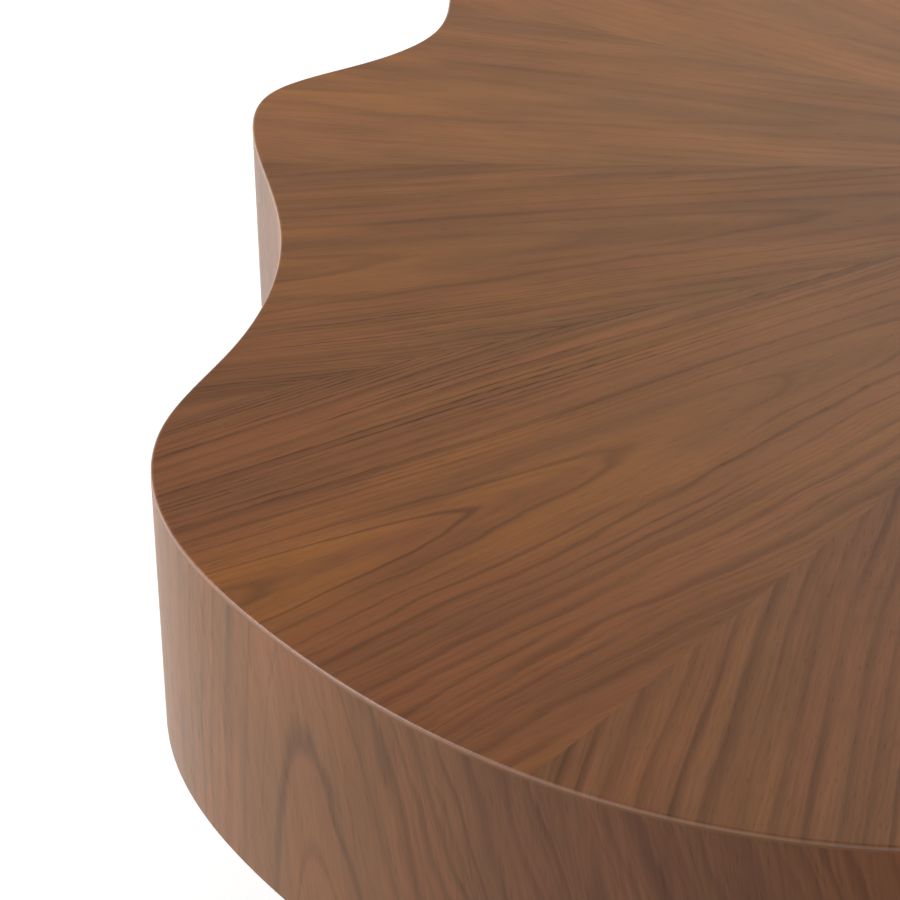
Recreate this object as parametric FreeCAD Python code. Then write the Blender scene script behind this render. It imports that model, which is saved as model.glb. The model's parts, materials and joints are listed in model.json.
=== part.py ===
import FreeCAD, Part
import math
import os

# Coffee table: a thick slab with a wavy rim and a sunburst top, on four round legs.
# Millimetres, +Z up. The origin is on the floor, below the middle of the sunburst.
# X runs along the table's greatest length.

# Overall size
lobe_reach = 584.0          # middle of the table to the tip of its longest lobe
table_height = 360.0        # floor to top face
slab_height = 100.0         # height of the slab's side

# The rim, as places on half of it: angle from X in degrees, distance as a share of lobe_reach.
# The other half is the same half turned by 180 degrees.
rim_shares = (
    (2.0, 1.000), (10.5, 0.982), (20.0, 0.915), (29.0, 0.845),
    (37.0, 0.822), (46.0, 0.858), (56.0, 0.915), (65.0, 0.936),
    (74.0, 0.908), (82.0, 0.821), (89.0, 0.746), (96.0, 0.709),
    (102.0, 0.727), (108.5, 0.774), (114.0, 0.768), (121.0, 0.744),
    (130.0, 0.729), (138.5, 0.750), (145.0, 0.800), (151.0, 0.876),
    (157.5, 0.928), (168.0, 0.970),
)

# Sunburst top
leaf_count = 12             # wedges of sawn veneer that meet in the middle
veneer = 2.0                # thickness of the sawn veneer on the top, side and legs
top_ease = 1.2              # radius that takes the sharpness off the top edge
foot_ease = 0.8             # radius along the lower edge of the slab and the legs

# Slab, built as a hollow box
top_panel_thickness = 18.0
bottom_panel_thickness = 12.0
band_thickness = 9.0        # bent plywood band behind the side veneer
rib_thickness = 15.0
side_joints = (37.0, 96.0, 217.0, 276.0)    # degrees, where the side's lengths of veneer meet

# Legs
leg_radius = 80.0
leg_wall = 12.0             # bent plywood tube below the leg's veneer
leg_lift = 10.0             # leg's lower edge above the floor
head_thickness = 24.0       # disc in the leg's top that holds the stud
plug_thickness = 30.0       # disc in the leg's foot that holds the levelling foot
leg_place_shares = ((0.642, -0.214), (0.283, 0.514))    # x and y of two legs, shares of lobe_reach

# Stud that screws a leg to the slab
stud_radius = 5.0
stud_insert_length = 25.0
stud_hole_clearance = 0.5
nut_width = 17.0            # across flats
nut_height = 8.0

# Levelling foot
foot_travel = 12.0          # how far a foot screws out
thread_radius = 5.0
thread_clearance = 0.05     # foot's stem in its insert
insert_wall = 3.0
glide_radius = 22.0
glide_thickness = 3.0
pad_radius = 24.0
pad_thickness = 5.0
ball_radius = 6.0           # ball on the stem's end, held in the pad's socket
socket_clearance = 0.3
socket_floor = 1.5          # pad left below the socket
socket_wall = 3.7
socket_lip = 3.7            # height of the socket's lip above the ball's middle
neck_radius = 3.5
neck_gap = 1.0              # free neck between the socket and the collar
collar_width = 17.0         # across flats
collar_height = 6.0
stop_gap = 0.3              # collar below its insert when the foot is screwed right in
pocket_radius = 16.0
stem_spare = 3.0            # stem above its insert when the foot is screwed right out
stem_chamfer = 1.0

# Modelling aids
overrun = 1.0               # how far a cutting shape runs past what it cuts
same_height = 0.001         # two heights closer than this count as one
lap_points = 8              # points that a closed curve is drawn past its seam, before it is trimmed
inset_points = 160          # points along an outline that is drawn in
outline_edges = 24          # edges that an outline is divided into
full_turn = 360.0
half_turn = 180.0

# Heights worked out from the sizes above
slab_bottom = table_height - slab_height
leaf_bottom = table_height - veneer
cavity_bottom = slab_bottom + bottom_panel_thickness
cavity_top = leaf_bottom - top_panel_thickness
ball_middle = glide_thickness + socket_floor + ball_radius + socket_clearance
socket_top = ball_middle + socket_lip
collar_bottom = socket_top + neck_gap
collar_top = collar_bottom + collar_height
insert_bottom = collar_top + stop_gap
plug_top = leg_lift + plug_thickness
head_bottom = slab_bottom - head_thickness
tube_radius = leg_radius - veneer
bore_radius = tube_radius - leg_wall
insert_radius = thread_radius + insert_wall

up = FreeCAD.Vector(0, 0, 1)


def place(x, y, z):
    """A point."""
    return FreeCAD.Vector(x, y, z)


def around(angle, distance, z):
    """The point at an angle in degrees and a distance from the middle."""
    turn = math.radians(angle)
    return place(distance * math.cos(turn), distance * math.sin(turn), z)


def disc(radius, bottom, top, spot=(0, 0)):
    """An upright cylinder between two heights."""
    return Part.makeCylinder(radius, top - bottom, place(spot[0], spot[1], bottom), up)


def tube(outer, inner, bottom, top, spot=(0, 0)):
    """An upright tube between two heights."""
    return disc(outer, bottom, top, spot).cut(disc(inner, bottom - overrun, top + overrun, spot))


def hexagon(width, bottom, top, spot=(0, 0)):
    """An upright hexagonal prism, with its width given across flats."""
    corner = width / 2 / math.cos(math.radians(30))
    middle = place(spot[0], spot[1], 0)
    corners = [middle + around(60 * side, corner, bottom) for side in range(7)]
    return Part.Face(Part.makePolygon(corners)).extrude(up * (top - bottom))


def smooth_loop(points):
    """A closed smooth curve through points, drawn past both ends and trimmed, so its seam is smooth."""
    run = points[-lap_points:] + points + points[:lap_points + 1]
    lengths = [0.0]
    for here, there in zip(run, run[1:]):
        lengths.append(lengths[-1] + here.distanceToPoint(there))
    curve = Part.BSplineCurve()
    curve.interpolate(Points=run, Parameters=lengths)
    curve.segment(lengths[lap_points], lengths[lap_points + len(points)])
    return curve


def rim_curve():
    """The table's outline on the floor."""
    return smooth_loop([around(angle + turn, lobe_reach * share, 0)
                        for turn in (0, half_turn) for angle, share in rim_shares])


def inner_curve(inset):
    """The outline drawn in by an inset all round."""
    rim = rim_curve()
    start = rim.FirstParameter
    step = (rim.LastParameter - start) / inset_points
    points = []
    for number in range(inset_points):
        spot = start + step * number
        along = rim.tangent(spot)[0]
        points.append(rim.value(spot) + up.cross(along) * inset)
    return smooth_loop(points)


def outline(inset, bottom, top):
    """The table's outline, drawn in by an inset, as an upright prism between two heights."""
    curve = inner_curve(inset) if inset > 0 else rim_curve()
    start = curve.FirstParameter
    step = (curve.LastParameter - start) / outline_edges
    edges = []
    for number in range(outline_edges):
        stretch = curve.copy()
        stretch.segment(start + step * number, start + step * (number + 1))
        edges.append(stretch.toShape())
    face = Part.Face(Part.Wire(edges))
    face.translate(up * bottom)
    return face.extrude(up * (top - bottom))


def sector(start, end, bottom, top):
    """A wedge from the middle out past the rim, between two angles in degrees."""
    far = 2 * lobe_reach
    corners = [place(0, 0, bottom - overrun)]
    corners += [around(angle, far, bottom - overrun) for angle in (start, (start + end) / 2, end)]
    corners.append(corners[0])
    return Part.Face(Part.makePolygon(corners)).extrude(up * (top - bottom + 2 * overrun))


def edges_at(shape, height):
    """The edges that lie flat at one height."""
    found = []
    for edge in shape.Edges:
        box = edge.BoundBox
        if abs(box.ZMin - height) < same_height and abs(box.ZMax - height) < same_height:
            found.append(edge)
    return found


def leg_places():
    """The middles of the four legs: two, and the same two turned by 180 degrees."""
    pair = [(lobe_reach * x, lobe_reach * y) for x, y in leg_place_shares]
    return pair + [(-x, -y) for x, y in pair]


def top_leaves():
    """The veneer wedges of the sunburst, cut from one sheet with an eased edge."""
    sheet = outline(0, leaf_bottom, table_height)
    sheet = sheet.makeFillet(top_ease, edges_at(sheet, table_height))
    step = full_turn / leaf_count
    return [sheet.common(sector(step * leaf, step * (leaf + 1), leaf_bottom, table_height))
            for leaf in range(leaf_count)]


def side_veneers():
    """The upright veneer of the side, in lengths that meet at the rim's hollows."""
    skin = outline(0, slab_bottom, leaf_bottom)
    skin = skin.makeFillet(foot_ease, edges_at(skin, slab_bottom))
    skin = skin.cut(outline(veneer, slab_bottom - overrun, leaf_bottom + overrun))
    ends = side_joints[1:] + (side_joints[0] + full_turn,)
    return [skin.common(sector(start, end, slab_bottom, leaf_bottom))
            for start, end in zip(side_joints, ends)]


def rim_core():
    """The bent plywood band that closes the slab's side."""
    outer = outline(veneer, slab_bottom, leaf_bottom)
    return outer.cut(outline(veneer + band_thickness, slab_bottom - overrun, leaf_bottom + overrun))


def top_panel():
    """The board below the sunburst."""
    return outline(veneer + band_thickness, cavity_top, leaf_bottom)


def bottom_panel():
    """The board that closes the slab from below, drilled for the leg studs."""
    board = outline(veneer + band_thickness, slab_bottom, cavity_bottom)
    for spot in leg_places():
        board = board.cut(disc(stud_radius + stud_hole_clearance,
                               slab_bottom - overrun, cavity_bottom + overrun, spot))
    return board


def rib_rows():
    """Where the ribs stand: y of the long ribs and x of the cross ribs, clear of the legs."""
    (first_x, first_y), (second_x, second_y) = leg_places()[:2]
    side_row = (abs(first_y) + abs(second_y)) / 2
    cross_row = (abs(first_x) + abs(second_x)) / 2
    return (-side_row, 0.0, side_row), (-cross_row, cross_row)


def board_on_edge(x_low, x_high, y_low, y_high, z_low, z_high):
    """A plain board between its six faces."""
    return Part.makeBox(x_high - x_low, y_high - y_low, z_high - z_low, place(x_low, y_low, z_low))


def ribs():
    """The boards on edge inside the slab, halved over each other where they cross."""
    long_rows, cross_rows = rib_rows()
    half = rib_thickness / 2
    halving = (cavity_bottom + cavity_top) / 2
    cavity = outline(veneer + band_thickness, cavity_bottom, cavity_top)
    long_ribs = []
    for y in long_rows:
        rib = board_on_edge(-lobe_reach, lobe_reach, y - half, y + half, cavity_bottom, cavity_top)
        for x in cross_rows:
            rib = rib.cut(board_on_edge(x - half, x + half, y - rib_thickness, y + rib_thickness,
                                        halving, cavity_top + overrun))
        long_ribs.append(rib.common(cavity))
    cross_ribs = []
    for x in cross_rows:
        rib = board_on_edge(x - half, x + half, -lobe_reach, lobe_reach, cavity_bottom, cavity_top)
        for y in long_rows:
            rib = rib.cut(board_on_edge(x - rib_thickness, x + rib_thickness, y - half, y + half,
                                        cavity_bottom - overrun, halving))
        cross_ribs.append(rib.common(cavity))
    return long_ribs, cross_ribs


def leg_block(spot):
    """The block inside the slab above a leg, glued against two ribs and bored for the stud's insert."""
    x, y = spot
    long_rows, cross_rows = rib_rows()
    half = rib_thickness / 2
    reach_x = abs(abs(x) - cross_rows[-1]) - half
    reach_y = abs(abs(y) - long_rows[-1]) - half
    block = board_on_edge(x - reach_x, x + reach_x, y - reach_y, y + reach_y,
                          cavity_bottom, cavity_top)
    return block.cut(disc(stud_radius + insert_wall, cavity_bottom - overrun,
                          cavity_bottom + stud_insert_length, spot))


def leg_insert(spot):
    """The threaded insert in a leg block."""
    return tube(stud_radius + insert_wall, stud_radius, cavity_bottom,
                cavity_bottom + stud_insert_length, spot)


def leg_stud(spot):
    """The stud, from its nut below the leg's head disc up into the slab's insert."""
    return disc(stud_radius, head_bottom - nut_height, cavity_bottom + stud_insert_length, spot)


def leg_nut(spot):
    """The nut that holds the stud below the leg's head disc."""
    nut = hexagon(nut_width, head_bottom - nut_height, head_bottom, spot)
    return nut.cut(leg_stud(spot))


def leg_skin(spot):
    """The leg's veneer, with its lower edge eased."""
    skin = disc(leg_radius, leg_lift, slab_bottom, spot)
    skin = skin.makeFillet(foot_ease, edges_at(skin, leg_lift))
    return skin.cut(disc(tube_radius, leg_lift - overrun, slab_bottom + overrun, spot))


def leg_core(spot):
    """The leg's bent plywood tube."""
    return tube(tube_radius, bore_radius, leg_lift, slab_bottom, spot)


def leg_head(spot):
    """The disc in the leg's top, drilled for the stud."""
    return tube(bore_radius, stud_radius, head_bottom, slab_bottom, spot)


def leg_plug(spot):
    """The disc in the leg's foot, with a pocket for the foot and a bore for its insert."""
    plug = disc(bore_radius, leg_lift, plug_top, spot)
    plug = plug.cut(disc(pocket_radius, leg_lift - overrun, insert_bottom, spot))
    return plug.cut(disc(insert_radius, insert_bottom - overrun, plug_top + overrun, spot))


def foot_insert(spot):
    """The threaded insert that a levelling foot screws through."""
    return tube(insert_radius, thread_radius + thread_clearance, insert_bottom, plug_top, spot)


def foot_pad(spot):
    """The pad of a levelling foot, with the socket that holds the stem's ball."""
    pad = disc(pad_radius, glide_thickness, glide_thickness + pad_thickness, spot)
    socket_radius = ball_radius + socket_clearance
    pad = pad.fuse(disc(socket_radius + socket_wall, glide_thickness, socket_top, spot))
    socket = Part.makeSphere(socket_radius, place(spot[0], spot[1], ball_middle))
    return pad.removeSplitter().cut(socket)


def foot_stem(spot):
    """The stem of a levelling foot: its ball, neck, spanner collar and thread."""
    stem_top = plug_top + foot_travel + stem_spare
    thread = disc(thread_radius, collar_top, stem_top, spot)
    thread = thread.makeChamfer(stem_chamfer, edges_at(thread, stem_top))
    stem = Part.makeSphere(ball_radius, place(spot[0], spot[1], ball_middle))
    stem = stem.fuse(disc(neck_radius, ball_middle, collar_bottom, spot))
    return stem.fuse([hexagon(collar_width, collar_bottom, collar_top, spot), thread])


def foot_glide(spot):
    """The soft disc below a pad."""
    return disc(glide_radius, 0, glide_thickness, spot)


def save(name, shape):
    """Write one piece, or one group of like pieces, to its own file."""
    if not shape.isValid():
        raise ValueError(name + " is not a valid shape")
    shape.exportStep(os.path.join("parts", name + ".step"))
    print(name, "solids", len(shape.Solids), "volume", round(shape.Volume))


def save_all():
    """Make and write every piece of the table."""
    os.makedirs("parts", exist_ok=True)
    spots = leg_places()
    for number, leaf in enumerate(top_leaves(), 1):
        save("top_leaf_%02d" % number, leaf)
    for number, length in enumerate(side_veneers(), 1):
        save("side_veneer_%d" % number, length)
    save("rim_core", rim_core())
    save("top_panel", top_panel())
    save("bottom_panel", bottom_panel())
    long_ribs, cross_ribs = ribs()
    for number, rib in enumerate(long_ribs, 1):
        save("long_rib_%d" % number, rib)
    for number, rib in enumerate(cross_ribs, 1):
        save("cross_rib_%d" % number, rib)
    for number, spot in enumerate(spots, 1):
        save("leg_block_%d" % number, leg_block(spot))
        save("leg_%d_skin" % number, leg_skin(spot))
        save("leg_%d_core" % number, leg_core(spot))
        save("leg_%d_head" % number, leg_head(spot))
        save("leg_%d_plug" % number, leg_plug(spot))
        save("foot_%d_pad" % number, foot_pad(spot))
        save("foot_%d_stem" % number, foot_stem(spot))
        save("foot_%d_glide" % number, foot_glide(spot))
    save("leg_inserts", Part.makeCompound([leg_insert(spot) for spot in spots]))
    save("leg_studs", Part.makeCompound([leg_stud(spot) for spot in spots]))
    save("leg_nuts", Part.makeCompound([leg_nut(spot) for spot in spots]))
    save("foot_inserts", Part.makeCompound([foot_insert(spot) for spot in spots]))


save_all()
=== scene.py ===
import bpy
import json
import math
from collections import namedtuple
from mathutils import Matrix, Vector

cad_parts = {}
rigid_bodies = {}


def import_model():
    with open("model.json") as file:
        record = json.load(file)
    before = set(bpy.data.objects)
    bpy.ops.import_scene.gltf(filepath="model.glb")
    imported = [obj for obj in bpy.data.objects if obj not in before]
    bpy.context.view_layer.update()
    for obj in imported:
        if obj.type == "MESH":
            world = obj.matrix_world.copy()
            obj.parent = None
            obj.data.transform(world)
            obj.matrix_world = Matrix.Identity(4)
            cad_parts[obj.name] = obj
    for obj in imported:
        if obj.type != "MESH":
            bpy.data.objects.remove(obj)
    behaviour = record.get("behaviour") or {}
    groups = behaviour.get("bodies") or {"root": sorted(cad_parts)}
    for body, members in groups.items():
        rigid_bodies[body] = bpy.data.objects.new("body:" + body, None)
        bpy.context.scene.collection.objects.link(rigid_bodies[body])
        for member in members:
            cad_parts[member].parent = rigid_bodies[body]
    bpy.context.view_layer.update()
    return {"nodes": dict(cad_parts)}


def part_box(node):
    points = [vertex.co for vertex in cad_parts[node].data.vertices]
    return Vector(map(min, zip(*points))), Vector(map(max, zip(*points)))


# A walnut coffee table: a thick slab with a wavy rim and a sunburst top, on round legs.
# Metres and degrees. The floor is at zero height and the sunburst's middle is above the origin.

for leftover in list(bpy.data.objects):
    bpy.data.objects.remove(leftover)

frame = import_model()
nodes = frame["nodes"]

# The photograph's camera
photo_pixels = 900
focal_pixels = 3553.4
sensor_width = 36.0
camera_place = Vector((-1.3352, -0.5033, 0.8954))
camera_heading = -54.8446       # turn about the upright axis, from looking along +Y
camera_pitch = 25.3466          # looking down
camera_roll = -1.5473

# The slab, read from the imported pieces
top_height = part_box("top_leaf_01")[1].z
slab_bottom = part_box("rim_core")[0].z
leaf_count = 12
leaf_turn = 360.0 / leaf_count
side_middles = {1: 66.5, 2: 156.5, 3: 246.5, 4: 336.5}      # degrees, middle of each side length
rim_radius = 0.57               # the rim's usual distance from the middle, for the side's grain
white = (1.0, 1.0, 1.0, 1.0)


class Link:
    """A value in a node tree. Python's operators on it add Math nodes."""

    def __init__(self, graph, socket):
        self.graph = graph
        self.socket = socket

    def __add__(self, other):
        return self.graph.math("ADD", self, other)

    def __radd__(self, other):
        return self.graph.math("ADD", other, self)

    def __sub__(self, other):
        return self.graph.math("SUBTRACT", self, other)

    def __rsub__(self, other):
        return self.graph.math("SUBTRACT", other, self)

    def __mul__(self, other):
        return self.graph.math("MULTIPLY", self, other)

    def __rmul__(self, other):
        return self.graph.math("MULTIPLY", other, self)

    def __truediv__(self, other):
        return self.graph.math("DIVIDE", self, other)

    def __rtruediv__(self, other):
        return self.graph.math("DIVIDE", other, self)

    def __pow__(self, other):
        return self.graph.math("POWER", self, other)

    def __rpow__(self, other):
        return self.graph.math("POWER", other, self)

    def __abs__(self):
        return self.graph.math("ABSOLUTE", self)

    def fraction(self):
        return self.graph.math("FRACT", self)

    def clamped(self):
        return self.graph.node("Clamp", {}, {"Value": self})

    def step(self, low, high):
        """Zero at low, one at high, smooth between."""
        return self.graph.node("MapRange", {"interpolation_type": "SMOOTHSTEP"},
                               {"Value": self, "From Min": low, "From Max": high})


# A smooth noise: its cells per metre along two directions, a shift that sets it apart from the
# others, its levels of detail and how rough they make it
Noise = namedtuple("Noise", "x_rate y_rate shift detail roughness")


class Graph:
    """The nodes of a material or of the world."""

    def __init__(self, owner):
        owner.use_nodes = True
        self.tree = owner.node_tree
        self.tree.nodes.clear()

    def node(self, kind, settings, inputs, output=0):
        """Add a node, set it up, and give one of its outputs, or all of them for output None."""
        made = self.tree.nodes.new("ShaderNode" + kind)
        for key, value in settings.items():
            setattr(made, key, value)
        for key, value in inputs.items():
            if isinstance(value, Link):
                self.tree.links.new(value.socket, made.inputs[key])
            else:
                made.inputs[key].default_value = value
        if output is None:
            return [Link(self, socket) for socket in made.outputs]
        return Link(self, made.outputs[output])

    def math(self, operation, *values):
        return self.node("Math", {"operation": operation}, dict(enumerate(values)))

    def split(self, vector):
        return self.node("SeparateXYZ", {}, {0: vector}, None)

    def point(self, x, y, z):
        return self.node("CombineXYZ", {}, {0: x, 1: y, 2: z})

    def distance(self, x, y):
        return (x * x + y * y) ** 0.5

    def noise(self, x, y, z, detail=2.0, roughness=0.5):
        """Smooth noise from 0 to 1 at a point in noise cells."""
        return self.node("TexNoise", {"noise_dimensions": "3D"},
                         {"Vector": self.point(x, y, z), "Scale": 1.0,
                          "Detail": detail, "Roughness": roughness})

    def even_noise(self, place, rate, detail=2.0, roughness=0.5):
        """Smooth noise that is alike along all three axes, with rate cells in a metre."""
        x, y, z = place
        return self.noise(x * rate, y * rate, z * rate, detail, roughness)

    def figure(self, noise, x, y, sheet):
        """One of the noises in a sheet of veneer, at a point in metres."""
        return self.noise(x * noise.x_rate, y * noise.y_rate, sheet + noise.shift,
                          noise.detail, noise.roughness)

    def mix(self, factor, low, high):
        """Blend two colours."""
        return self.node("Mix", {"data_type": "RGBA"}, {0: factor, 6: low, 7: high}, 2)

    def shade(self, color, level):
        """Darken or lighten a colour."""
        color = color if isinstance(color, Link) else color[:3]
        return self.node("VectorMath", {"operation": "SCALE"}, {0: color, "Scale": level})

    def tint(self, color, other):
        """Multiply two colours."""
        return self.node("VectorMath", {"operation": "MULTIPLY"}, {0: color, 1: other})

    def rays(self, *names):
        """One for the kinds of ray that are named, such as Is Camera Ray."""
        kinds = [self.node("LightPath", {}, {}, name) for name in names]
        found = kinds[0]
        for kind in kinds[1:]:
            found = self.math("MAXIMUM", found, kind)
        return found


class Finish(Graph):
    """A material."""

    def __init__(self, name):
        self.material = bpy.data.materials.new(name)
        super().__init__(self.material)

    def place(self):
        """The x, y and z of a point on the piece."""
        return self.split(self.node("TexCoord", {}, {}, "Object"))

    def bump(self, height, depth, strength=1.0):
        return self.node("Bump", {}, {"Height": height, "Distance": depth, "Strength": strength})

    def surface(self, **inputs):
        """Make the shader. Underscores stand for the spaces in its sockets' names."""
        sockets = {key.replace("_", " "): value for key, value in inputs.items()}
        return self.node("BsdfPrincipled", {}, sockets)

    def show(self, shader):
        """Put a shader on the material, and give the material."""
        self.node("OutputMaterial", {}, {"Surface": shader}, None)
        return self.material


def srgb(red, green, blue):
    """A colour given in screen steps from 0 to 255."""
    def linear(step):
        share = step / 255
        return share / 12.92 if share <= 0.04045 else ((share + 0.055) / 1.055) ** 2.4
    return (linear(red), linear(green), linear(blue), 1.0)


# Walnut, sanded and lacquered: brown, redder, golden and greyer wood
top_woods = (srgb(133, 86, 51), srgb(141, 88, 54), srgb(158, 101, 50), srgb(124, 83, 52))
side_woods = (srgb(133, 89, 56), srgb(140, 90, 59), srgb(147, 102, 62), srgb(122, 84, 56))
late_wood = srgb(70, 43, 27)
walnut_pore = srgb(64, 40, 27)
# the eased edge's pale tone: paler sanded wood, and a painted highlight along the edge
arris_sanded_and_highlight = srgb(194, 158, 140)

# How a sheet was cut from its log. The pith lies at a distance of pith metres under the sheet's
# line across = heart, and the log tapers, so the rings close in arches along that line. ring is
# the usual width of a year, first the share of one that the pattern starts at. A year's dark line
# takes the share late of it on the flanks, and the share narrow of that near the heart. weight
# darkens those lines, and fine the finer ones between them, which uneven makes stronger on one side
# of the heart. wobble bends the rings. cloudy is how strongly the sheet is mottled, and crisp how
# strongly its fibres, streaks and pores show.
Log = namedtuple("Log", "pith taper ring first heart late weight fine "
                        "narrow uneven wobble cloudy crisp",
                 defaults=(0.25, 0.0, 1.0, 1.0, 1.0))


# The noises in the veneer. The first rate is along the grain and the second across it, but the
# bands and tones have the depth in the log first.
fibres = Noise(42.0, 900.0, 1.0, 2.0, 0.6)
streaks = Noise(9.0, 250.0, 4.0, 2.0, 0.6)
clouds = Noise(11.0, 55.0, 2.0, 2.0, 0.5)
ripples = Noise(60.0, 16.0, 8.0, 1.0, 0.5)
pores = Noise(130.0, 1500.0, 6.0, 1.0, 0.5)
drifts = Noise(4.0, 8.0, 0.0, 1.0, 0.5)
kinks = Noise(20.0, 42.0, 7.0, 2.0, 0.5)
line_patches = Noise(9.0, 1.7, 5.0, 1.0, 0.5)       # its second rate is per year
fine_patches = Noise(7.0, 110.0, 15.0, 1.0, 0.5)
bands = Noise(110.0, 5.0, 9.0, 2.0, 0.6)
tones = Noise(42.0, 5.0, 12.0, 2.0, 0.5)

# The rings
drift_reach = 0.026             # metres that the slow drifts move them
kink_reach = 0.004              # metres that the small kinks move them
flank_start, flank_end = 0.0002, 0.0040     # squares of the distance from the heart
wander_rate = 45.0              # swings of a year's width per metre of depth
wander_change = 0.2             # how fast the swings change with the sheet's number
wander_seed = 3.0
wander_years, kink_years = 1.8, 0.5         # years that the swings and the kinks amount to
feather_heart, feather_flank = 0.15, 0.30   # years that a boundary feathers by, and more on flanks

# The dark line at the end of each year
line_seed = 3.0
line_least, line_range = 0.45, 0.5          # how dark the faintest one is, and what chance adds
line_patch = (0.20, 0.60)       # levels of its noise between which it sets in
dark_end = 0.85                 # share of a year where the line is at its darkest
dark_edge = 0.01                # share of a year that its edge takes

# The finer lines
fine_share = 0.37               # distance between them, as a share of a year
fine_wander, fine_feather = 4.0, 0.7
fine_start, fine_end = 0.50, 0.82           # where one starts to darken, and is at its darkest
fine_patch = (0.35, 0.65)       # levels of their noise between which they set in
fine_at_heart = 0.25            # how strong they are near it, as a share of that on the flanks
fine_crossing = (-0.06, 0.06)   # places across the heart between which uneven ones change

# How much each thing lightens, darkens or colours the wood
plain_level = 0.93
fibre_level, streak_level, cloud_level, ripple_level = 0.46, 0.28, 0.30, 0.10
year_level, flank_year_level = 0.04, 0.06   # of a year's own tone, and more on flanks
line_share, flank_line_share = 0.90, 0.38   # of late wood in a dark line, and less on flanks
grey_share, tan_share, golden_share, pore_share = 0.5, 0.25, 0.72, 0.24
red_band, grey_tone, tan_tone = (0.34, 0.66), (0.5, 0.70), (0.5, 0.30)  # noise where they set in
golden_cloud, pore_spot = (0.25, 0.6), (0.60, 0.75)
golden_reach = 0.0022           # square of the distance from the heart where the gold ends
golden_start = (0.30, 0.48)     # distances along the sheet over which the gold sets in
satin, fibre_rough, pore_rough = 0.32, 0.08, 0.12       # the lacquer's roughness, and what adds
fibre_relief = 0.4              # height of the fibres, in depths of a pore


def walnut(finish, along, across, sheet, log, woods):
    """Walnut veneer. along and across are places on the sheet in metres, and sheet is its number.

    Gives the colour, the roughness and the relief."""
    brown, red, gold, grey = woods
    fibre = finish.figure(fibres, along, across, sheet)
    streak = finish.figure(streaks, along, across, sheet)
    cloud = finish.figure(clouds, along, across, sheet)
    # the ring field, with slow drifts, small kinks, and boundaries that feather along the streaks
    drift = finish.figure(drifts, along, across, sheet) - 0.5
    kink = finish.figure(kinks, along, across, sheet) - 0.5
    side = across + drift * drift_reach + kink * kink_reach * log.wobble - log.heart
    depth = (side * side + log.pith ** 2) ** 0.5 - along * log.taper
    wander = finish.noise(depth * wander_rate, sheet * wander_change, wander_seed, detail=1.0) - 0.5
    flank = (side * side).step(flank_start, flank_end)
    feather = (streak - 0.5) * (feather_heart + flank * feather_flank)
    year = depth / log.ring + wander * wander_years + kink * kink_years + feather + log.first
    inside = year.fraction()
    number = year - inside
    # a late-wood line at the end of each year, with its own darkness, faint and strong by turns
    strength = finish.node("TexWhiteNoise", {"noise_dimensions": "2D"},
                           {"Vector": finish.point(number, line_seed, 0.0)})
    patchy = finish.figure(line_patches, along, number, sheet).step(*line_patch)
    late = (log.narrow + flank * (1.0 - log.narrow)) * log.late
    line = inside.step(dark_end - dark_edge - late, dark_end) \
        * (1.0 - inside.step(dark_end - 2 * dark_edge, 1.0))
    line = line * (line_least + strength * line_range) * patchy
    # finer lines, stronger away from the heart
    fine_year = (depth / (log.ring * fine_share) + wander * fine_wander + kink
                 + (fibre - 0.5) * fine_feather)
    fine_inside = fine_year.fraction()
    fine_line = fine_inside.step(fine_start, fine_end) * (1.0 - fine_inside.step(fine_end, 1.0)) \
        * finish.figure(fine_patches, along, depth, sheet).step(*fine_patch)
    # bands of redder, golden and greyer wood that follow the rings, and gold about the heart
    band = finish.figure(bands, depth, along, sheet)
    tone = finish.figure(tones, depth, along, sheet)
    golden = (1.0 - (side * side) / golden_reach).clamped() \
        * along.step(*golden_start) * cloud.step(*golden_cloud)
    color = finish.mix((band.step(*red_band) - 0.5) * log.crisp + 0.5, brown, red)
    color = finish.mix(tone.step(*grey_tone) * grey_share, color, grey)
    color = finish.mix(tone.step(*tan_tone) * tan_share + golden * golden_share, color, gold)
    # a faint ripple across the grain, and short pores
    ripple = finish.figure(ripples, along, across, sheet)
    pore = finish.figure(pores, along, across, sheet).step(*pore_spot)
    level = (plain_level
             + ((fibre - 0.5) * fibre_level + (streak - 0.5) * streak_level) * log.crisp
             + (cloud - 0.5) * (cloud_level * log.cloudy)
             + ripple * ripple_level
             + (strength - 0.5) * (year_level + flank * flank_year_level))
    color = finish.shade(color, level)
    fine = log.fine * (1.0 + (side.step(*fine_crossing) - 0.5) * log.uneven)
    dark = finish.math("MAXIMUM", line * (line_share - flank * flank_line_share) * log.weight,
                       fine_line * (fine_at_heart + flank * (1.0 - fine_at_heart)) * fine)
    color = finish.mix(dark, color, late_wood)
    color = finish.mix(pore * (pore_share * log.crisp), color, walnut_pore)
    rough = satin + fibre * fibre_rough + pore * pore_rough
    relief = finish.bump(fibre * fibre_relief - pore, depth=0.00005, strength=0.5)
    return color, rough, relief


def lacquered(finish, color, rough, relief, gloss=0.0):
    """Satin lacquer over veneer. gloss is how much glossier it is where it lies thick."""
    return finish.show(finish.surface(Base_Color=color, Roughness=rough, Normal=relief,
                                      Specular_IOR_Level=0.18, Coat_Weight=gloss,
                                      Coat_Roughness=0.15))
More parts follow.
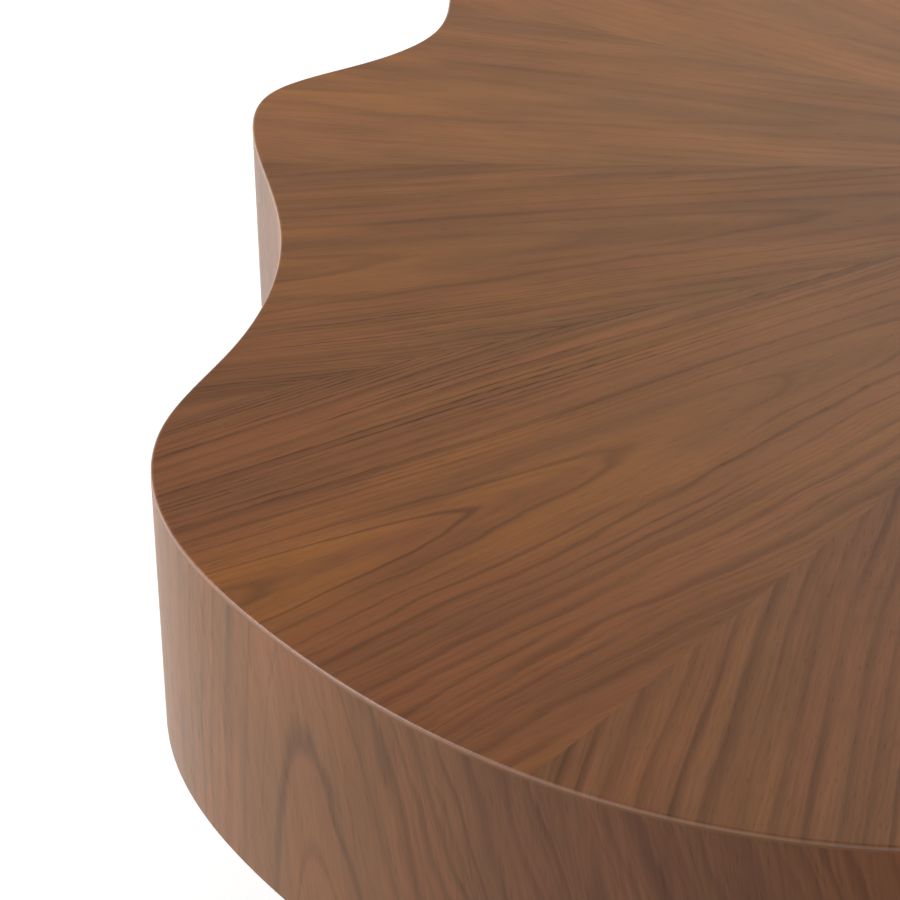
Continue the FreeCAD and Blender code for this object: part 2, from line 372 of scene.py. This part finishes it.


# each sheet's painted sheen and shade, lighter or darker as its grain lies to the light, and how it
# turns darker and redder towards the rim than at the sheet's tip
leaf_sheen_and_shade_tints = ((0.96, 1.05, 1.00), (1.04, 1.13, 1.06), (1.21, 1.31, 1.20), (1.07, 1.19, 1.13),
              (0.93, 1.01, 0.95), (0.98, 1.06, 1.03), (0.85, 0.90, 1.01), (0.86, 0.92, 1.00),
              (0.94, 1.01, 1.03), (1.02, 1.11, 1.08), (0.93, 1.02, 0.98), (0.96, 1.05, 1.02))
rim_tint = (0.87, 0.77, 0.82, 1.0)
rim_redness = (0.25, 0.60)      # distances from the middle over which it sets in
leaf_softness = {3: 1.0, 4: 1.0, 5: 0.4}    # the leaves with broader, fainter lines and fibres
leaf_unevenness = {5: 0.9, 6: -0.9}         # the leaves whose finer lines keep to one side
leaf_clouds = {3: 1.9, 4: 2.2, 5: 2.0}      # the leaves that are mottled more than usual
leaf_clearness = {5: 0.4, 6: 1.0}           # the leaves whose lines stand out from plainer wood
clear_side = (0.02, 0.07)       # places across one over which its lines grow darker
first_leaf = 7                  # the wedge with the first sheet of the bundle
early_sheets = 4                # sheets before the one with the log's heart at its middle
early_lean = 7.0                # degrees that the first sheet's grain leans from its wedge
leaf_sheet, leaf_change = 20.0, 0.06        # number of the first sheet, and the step to the next
eased_from = (0.0001, 0.0005)   # drops over which the eased edge begins, and the side after it
eased_to = (0.0009, 0.0013)
eased_sanded_and_highlight_share, below_share = 0.35, 0.9        # of the pale tone on it, paler sanded wood with a painted highlight, and of the side's under it
eased_gloss = 0.4


def leaf_finish(number):
    """The veneer of one wedge of the sunburst, with its grain along the wedge's middle.

    The sheets come one after the other from one log, laid round from the first leaf. The heart
    of the log starts well beside the wedge and comes to its middle by the fifth sheet."""
    finish = Finish("walnut_leaf_%02d" % number)
    x, y, z = finish.place()
    order = (number - first_leaf) % leaf_count
    last = leaf_count - 1
    early = max(0.0, 1.0 - order / early_sheets)
    soft = leaf_softness.get(number, 0.0)
    clear = leaf_clearness.get(number, 0.0)
    turn = math.radians(leaf_turn * (number - 0.5) + early_lean * early)
    along = x * math.cos(turn) + y * math.sin(turn)
    across = y * math.cos(turn) - x * math.sin(turn)
    log = Log(pith=0.016, taper=0.095 - 0.075 * early, ring=0.0083 + 0.0005 * early,
              first=order * 0.05 - 0.31, heart=0.001 + 0.25 * early, late=0.45,
              weight=(0.52 + 0.26 * (order / (last / 2) - 1.0) ** 2 + 0.34 * early)
              * (1.0 - 0.45 * soft) + across.step(*clear_side) * (0.20 * clear),
              fine=(0.17 + 0.40 * (order / last) ** 2) * (1.0 - 0.4 * soft),
              narrow=0.25 + 0.65 * soft, uneven=leaf_unevenness.get(number, 0.0),
              cloudy=leaf_clouds.get(number, 1.0), crisp=1.0 - 0.55 * soft - 0.25 * clear)
    color, rough, relief = walnut(finish, along, across, leaf_sheet + order * leaf_change,
                                  log, top_woods)
    # painted sheen and shade on each sheet, by how its grain lies to the light
    color = finish.tint(color, leaf_sheen_and_shade_tints[number - 1])
    redness = along.step(*rim_redness) * (1.0 - early)
    color = finish.tint(color, finish.mix(redness, white, rim_tint))
    drop = top_height - z
    eased = drop.step(*eased_from)
    below = drop.step(*eased_to)
    # paler sanded wood and a painted highlight along the eased edge
    color = finish.mix(eased * eased_sanded_and_highlight_share, color, arris_sanded_and_highlight)
    color = finish.mix(below * below_share, color, side_woods[0])
    return lacquered(finish, color, rough, relief, eased * (1.0 - below) * eased_gloss)


# the tone of a sheet on the side, from its first edge, over its middle, to its other edge
side_warm = (1.07, 1.04, 0.93, 1.0)
side_cool = (0.88, 0.92, 1.15, 1.0)
side_red = (1.26, 1.08, 0.88, 1.0)
side_cools = (0.19, 0.31)       # distances across the sheet over which the tone changes
side_reddens = (0.36, 0.42)
side_darkens = (0.22, 0.32)     # distances over which its lines grow darker
side_sheet = 0.46               # width of a sheet round the rim
side_lean = 0.16                # how far its figure leans, in metres per metre of drop
side_start = 150.0              # degrees, where the first sheet of side length 2 starts
side_number, side_change = 40.0, 1.7        # sheet number before length 1, and the step to the next
leg_number, leg_change = 60.0, 1.3          # the same for the legs


def side_finish(number):
    """The upright veneer of one length of the slab's side, in mirrored sheets side by side."""
    finish = Finish("walnut_side_%d" % number)
    x, y, z = finish.place()
    turn = math.radians(side_middles[number])
    ahead = x * math.cos(turn) + y * math.sin(turn)
    aside = y * math.cos(turn) - x * math.sin(turn)
    around = finish.math("ARCTAN2", aside, ahead) * rim_radius
    around = around - math.radians(side_start - side_middles[2]) * rim_radius
    drop = top_height - z
    across = finish.math("PINGPONG", around, side_sheet) - drop * side_lean
    log = Log(pith=0.015, taper=0.30, ring=0.0115, first=-0.74, heart=0.187, late=0.40,
              weight=0.69 + across.step(*side_darkens) * 0.32, fine=0.16, wobble=2.6)
    color, rough, relief = walnut(finish, drop, across, side_number + number * side_change,
                                  log, side_woods)
    color = finish.tint(color, finish.mix(across.step(*side_cools), side_warm, side_cool))
    color = finish.tint(color, finish.mix(across.step(*side_reddens), white, side_red))
    return lacquered(finish, color, rough, relief)


def leg_finish(number):
    """The upright veneer that wraps a leg, with its joint towards the middle of the table."""
    finish = Finish("walnut_leg_%d" % number)
    low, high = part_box("leg_%d_skin" % number)
    middle = (low + high) / 2
    radius = (high.x - low.x) / 2
    x, y, z = finish.place()
    outward = math.atan2(middle.y, middle.x)
    east, north = x - middle.x, y - middle.y
    ahead = east * math.cos(outward) + north * math.sin(outward)
    aside = north * math.cos(outward) - east * math.sin(outward)
    across = finish.math("ARCTAN2", aside, ahead) * radius
    log = Log(pith=0.06, taper=0.05, ring=0.0090, first=0.2, heart=0.0, late=0.36,
              weight=0.69, fine=0.3, wobble=1.5)
    color, rough, relief = walnut(finish, z, across, leg_number + number * leg_change,
                                  log, side_woods)
    return lacquered(finish, color, rough, relief)


# Birch plywood, and the brown stain on what shows below the slab
birch = srgb(206, 178, 138)
birch_shadow = srgb(178, 145, 104)
birch_end = srgb(160, 122, 84)
glue_line = srgb(84, 58, 40)
brown_stain = srgb(84, 60, 45)
ply = 0.0014                    # thickness of one layer
first_ply = 0.3                 # share of a layer that the stack starts at
glue_reach = 0.10               # share of a layer that the glue takes at each of its faces
end_share, glue_share = 0.7, 0.7            # of end grain in every other layer, and of glue
tube_radius = 0.07              # a leg's usual radius, for the grain of its tube
board_fibre = srgb(66, 47, 36)
stain_ends = (0.0002, 0.0006)   # heights over the slab's lower face over which it ends on the rim


def plywood(finish, through, along, across):
    """The colour of birch plywood. through is the place across its layers."""
    layer = through / ply + first_ply
    inside = layer.fraction()
    crosswise = (layer * 0.5).fraction().step(0.48, 0.52)
    glue = 1.0 - inside.step(0.0, glue_reach) * (1.0 - inside.step(1.0 - glue_reach, 1.0))
    grain = finish.noise(along * 18.0, across * 420.0, through * 300.0, detail=3.0, roughness=0.6)
    figure = finish.noise(along * 4.0, across * 26.0, 2.0)
    color = finish.mix((grain * 0.6 + figure * 0.6).step(0.3, 0.9), birch, birch_shadow)
    color = finish.mix(crosswise * end_share, color, birch_end)
    color = finish.mix(glue * glue_share, color, glue_line)
    return color, finish.bump(grain - glue, depth=0.0001, strength=0.5)


def plywood_finish(name, way, spot=Vector((0, 0, 0))):
    """Bare plywood. way is the direction through its layers: x, y, z, or round for a bent tube."""
    finish = Finish(name)
    x, y, z = finish.place()
    east, north = x - spot.x, y - spot.y
    ways = {"x": (east, z, north), "y": (north, east, z), "z": (z, east, north),
            "round": (finish.distance(east, north), z,
                      finish.math("ARCTAN2", north, east) * tube_radius)}
    color, relief = plywood(finish, *ways[way])
    return finish.show(finish.surface(Base_Color=color, Roughness=0.62, Normal=relief))


def rim_finish():
    """The bent plywood band, bare inside the slab and stained on its lower edge."""
    finish = Finish("rim_plywood")
    x, y, z = finish.place()
    around = finish.math("ARCTAN2", y, x) * rim_radius
    color, relief = plywood(finish, finish.distance(x, y), z, around)
    mottle = finish.even_noise((x, y, z), rate=90.0, detail=3.0)
    lower_edge = 1.0 - (z - slab_bottom).step(*stain_ends)
    color = finish.mix(lower_edge, color, finish.shade(brown_stain, 0.8 + mottle * 0.4))
    return finish.show(finish.surface(Base_Color=color, Roughness=0.6, Normal=relief))


def board_finish():
    """Fibreboard with a brown stain."""
    finish = Finish("stained_board")
    place = finish.place()
    fluff = finish.even_noise(place, rate=900.0, detail=3.0, roughness=0.7)
    cloud = finish.even_noise(place, rate=14.0)
    color = finish.mix(fluff.step(0.35, 0.70), brown_stain, board_fibre)
    return finish.show(finish.surface(Base_Color=finish.shade(color, 0.85 + cloud * 0.3),
                                      Roughness=0.52 + fluff * 0.12, Specular_IOR_Level=0.2,
                                      Normal=finish.bump(fluff, depth=0.00008, strength=0.5)))


thread_radius = 0.005
thread_pitch = 0.0015
thread_starts, thread_ends = (0.94, 0.97), (1.03, 1.06)     # shares of its radius where it shows
thread_shade = 0.35             # how much painted shade darkens the roots between its crests
zinc = srgb(206, 207, 204)
zinc_yellow = srgb(204, 198, 182)
zinc_blue = srgb(188, 196, 206)


def steel_finish(name, spot=None):
    """Zinc plated steel. spot is the middle of a threaded piece."""
    finish = Finish(name)
    x, y, z = finish.place()
    tint = finish.even_noise((x, y, z), rate=60.0)
    smear = finish.noise(x * 500.0, y * 500.0, z * 2500.0, detail=3.0, roughness=0.6)
    warmer = finish.mix(tint.step(0.52, 0.66), zinc, zinc_yellow)
    color = finish.mix(tint.step(0.35, 0.48), zinc_blue, warmer)
    height = smear * 0.15
    if spot:
        east, north = x - spot.x, y - spot.y
        radius = finish.distance(east, north) / thread_radius
        turns = z / thread_pitch + finish.math("ARCTAN2", north, east) / (2 * math.pi)
        crest = 1.0 - abs(turns.fraction() * 2.0 - 1.0)
        on_thread = radius.step(*thread_starts) * (1.0 - radius.step(*thread_ends))
        height = height + crest * on_thread
        # painted shade in the thread's roots
        color = finish.shade(color, 1.0 - (1.0 - crest) * on_thread * thread_shade)
    return finish.show(finish.surface(Base_Color=color, Metallic=1.0, Roughness=0.26 + smear * 0.2,
                                      Normal=finish.bump(height, depth=0.0006, strength=0.7)))


nylon_black = srgb(34, 34, 35)
nylon_worn = srgb(58, 57, 56)
felt_dark = srgb(74, 67, 60)
felt_pale = srgb(134, 124, 112)


def nylon_finish():
    """Moulded nylon with a fine sparked surface."""
    finish = Finish("black_nylon")
    place = finish.place()
    spark = finish.even_noise(place, rate=3800.0)
    scuff = finish.even_noise(place, rate=220.0, detail=3.0, roughness=0.7).step(0.55, 0.8)
    return finish.show(finish.surface(Base_Color=finish.mix(scuff * 0.5, nylon_black, nylon_worn),
                                      Roughness=0.45 + spark * 0.15,
                                      Normal=finish.bump(spark, depth=0.00006, strength=0.6)))


def felt_finish():
    """Pressed wool felt."""
    finish = Finish("pressed_felt")
    x, y, z = finish.place()
    tangle = finish.even_noise((x, y, z), rate=1400.0, detail=4.0, roughness=0.75)
    strand = 1.0 - abs(finish.noise(x * 700.0, y * 2600.0, z * 700.0) * 2.0 - 1.0)
    fluff = tangle * 0.6 + strand * 0.4
    color = finish.mix(fluff.step(0.4, 0.8), felt_dark, felt_pale)
    return finish.show(finish.surface(Base_Color=color, Roughness=0.95, Sheen_Weight=0.3,
                                      Normal=finish.bump(fluff, depth=0.0002, strength=0.8)))


def dress(node, material):
    """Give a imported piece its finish."""
    nodes[node].material_slots[0].material = material


def middle_of(node):
    low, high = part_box(node)
    return (low + high) / 2


for number in range(1, leaf_count + 1):
    dress("top_leaf_%02d" % number, leaf_finish(number))
for number in side_middles:
    dress("side_veneer_%d" % number, side_finish(number))
dress("rim_core", rim_finish())
board = board_finish()
dress("top_panel", board)
dress("bottom_panel", board)
for rib in ("long_rib_1", "long_rib_2", "long_rib_3"):
    dress(rib, plywood_finish(rib + "_plywood", "y", middle_of(rib)))
for rib in ("cross_rib_1", "cross_rib_2"):
    dress(rib, plywood_finish(rib + "_plywood", "x", middle_of(rib)))
disc_plywood = plywood_finish("disc_plywood", "z")
steel = steel_finish("zinc_steel")
nylon = nylon_finish()
felt = felt_finish()
for number in range(1, 5):
    leg = "leg_%d_" % number
    foot = "foot_%d_" % number
    dress(leg + "skin", leg_finish(number))
    dress(leg + "core", plywood_finish(leg + "plywood", "round", middle_of(leg + "core")))
    dress(leg + "head", disc_plywood)
    dress(leg + "plug", disc_plywood)
    dress("leg_block_%d" % number, disc_plywood)
    dress(foot + "stem", steel_finish(foot + "steel", middle_of(foot + "stem")))
    dress(foot + "pad", nylon)
    dress(foot + "glide", felt)
for node in ("leg_inserts", "leg_studs", "leg_nuts", "foot_inserts"):
    dress(node, steel)

# Floor, seen from above alone. It glows where it is seen or mirrored, and more so far out, so it
# passes into the white all round.
floor_size = 60.0
near_glow, far_glow = 0.33, 0.36
glow_grows = (0.8, 3.2)         # distances from the middle over which the second glow sets in
green_loss, blue_loss = 0.12, 0.30          # what a mirror takes of the glow, for a warmer sheen
bpy.ops.mesh.primitive_plane_add(size=floor_size, location=(0.0, 0.0, 0.0))
floor = bpy.context.object
floor.name = "floor"
paper = Finish("white_paper")
x, y, z = paper.place()
seen = paper.rays("Is Camera Ray", "Is Glossy Ray", "Is Transmission Ray")
glow = seen * (near_glow + paper.distance(x, y).step(*glow_grows) * far_glow)
mirrored = paper.rays("Is Glossy Ray")
glows = {0: glow, 1: glow * (1.0 - mirrored * green_loss), 2: glow * (1.0 - mirrored * blue_loss)}
sheet = paper.surface(Base_Color=(0.8, 0.8, 0.8, 1.0), Roughness=1.0, Specular_IOR_Level=0.0,
                      Emission_Color=paper.node("CombineColor", {}, glows),
                      Emission_Strength=1.0)
nothing = paper.node("BsdfTransparent", {}, {})
below = paper.node("NewGeometry", {}, {}, "Backfacing")
one_sided = paper.node("MixShader", {}, {0: below, 1: sheet, 2: nothing})
floor.data.materials.append(paper.show(one_sided))

# Daylight all round. It is white where it is seen, and reflects white only near the horizon.
daylight_level = 0.42
horizon = (0.40, 0.10)          # heights between which the reflected white sets in
studio = bpy.data.worlds.new("studio")
bpy.context.scene.world = studio
sky = Graph(studio)
height = sky.split(sky.node("TexCoord", {}, {}, "Generated"))[2]
gloss = sky.rays("Is Glossy Ray")
level = (1.0 - gloss) * daylight_level + gloss * height.step(*horizon)
seen = sky.rays("Is Camera Ray", "Is Transmission Ray")
strength = sky.math("MAXIMUM", level, seen)
daylight = sky.node("Background", {}, {"Color": white, "Strength": strength})
sky.node("OutputWorld", {}, {"Surface": daylight}, None)


def softbox(name, place, target, size, power):
    """A square area lamp that faces a point."""
    data = bpy.data.lights.new(name, "AREA")
    data.size = size
    data.energy = power
    lamp = bpy.data.objects.new(name, data)
    bpy.context.scene.collection.objects.link(lamp)
    lamp.location = place
    lamp.rotation_euler = (Vector(target) - Vector(place)).to_track_quat("-Z", "Y").to_euler()


softbox("left_softbox", place=(-0.9, 2.5, 2.2), target=(-0.1, 0.0, 0.3), size=1.6, power=82.0)
softbox("back_softbox", place=(2.0, 0.75, 1.75), target=(0.0, 0.0, 0.3), size=1.2, power=3.6)

# The camera
camera_data = bpy.data.cameras.new("camera")
camera_data.sensor_width = sensor_width
camera_data.lens = sensor_width * focal_pixels / photo_pixels
camera = bpy.data.objects.new("camera", camera_data)
bpy.context.scene.collection.objects.link(camera)
aim = (Matrix.Rotation(math.radians(camera_heading), 4, "Z")
       @ Matrix.Rotation(math.radians(90.0 - camera_pitch), 4, "X")
       @ Matrix.Rotation(math.radians(camera_roll), 4, "Z"))
camera.matrix_world = Matrix.Translation(camera_place) @ aim
bpy.context.scene.camera = camera
bpy.context.scene.view_settings.view_transform = "Standard"
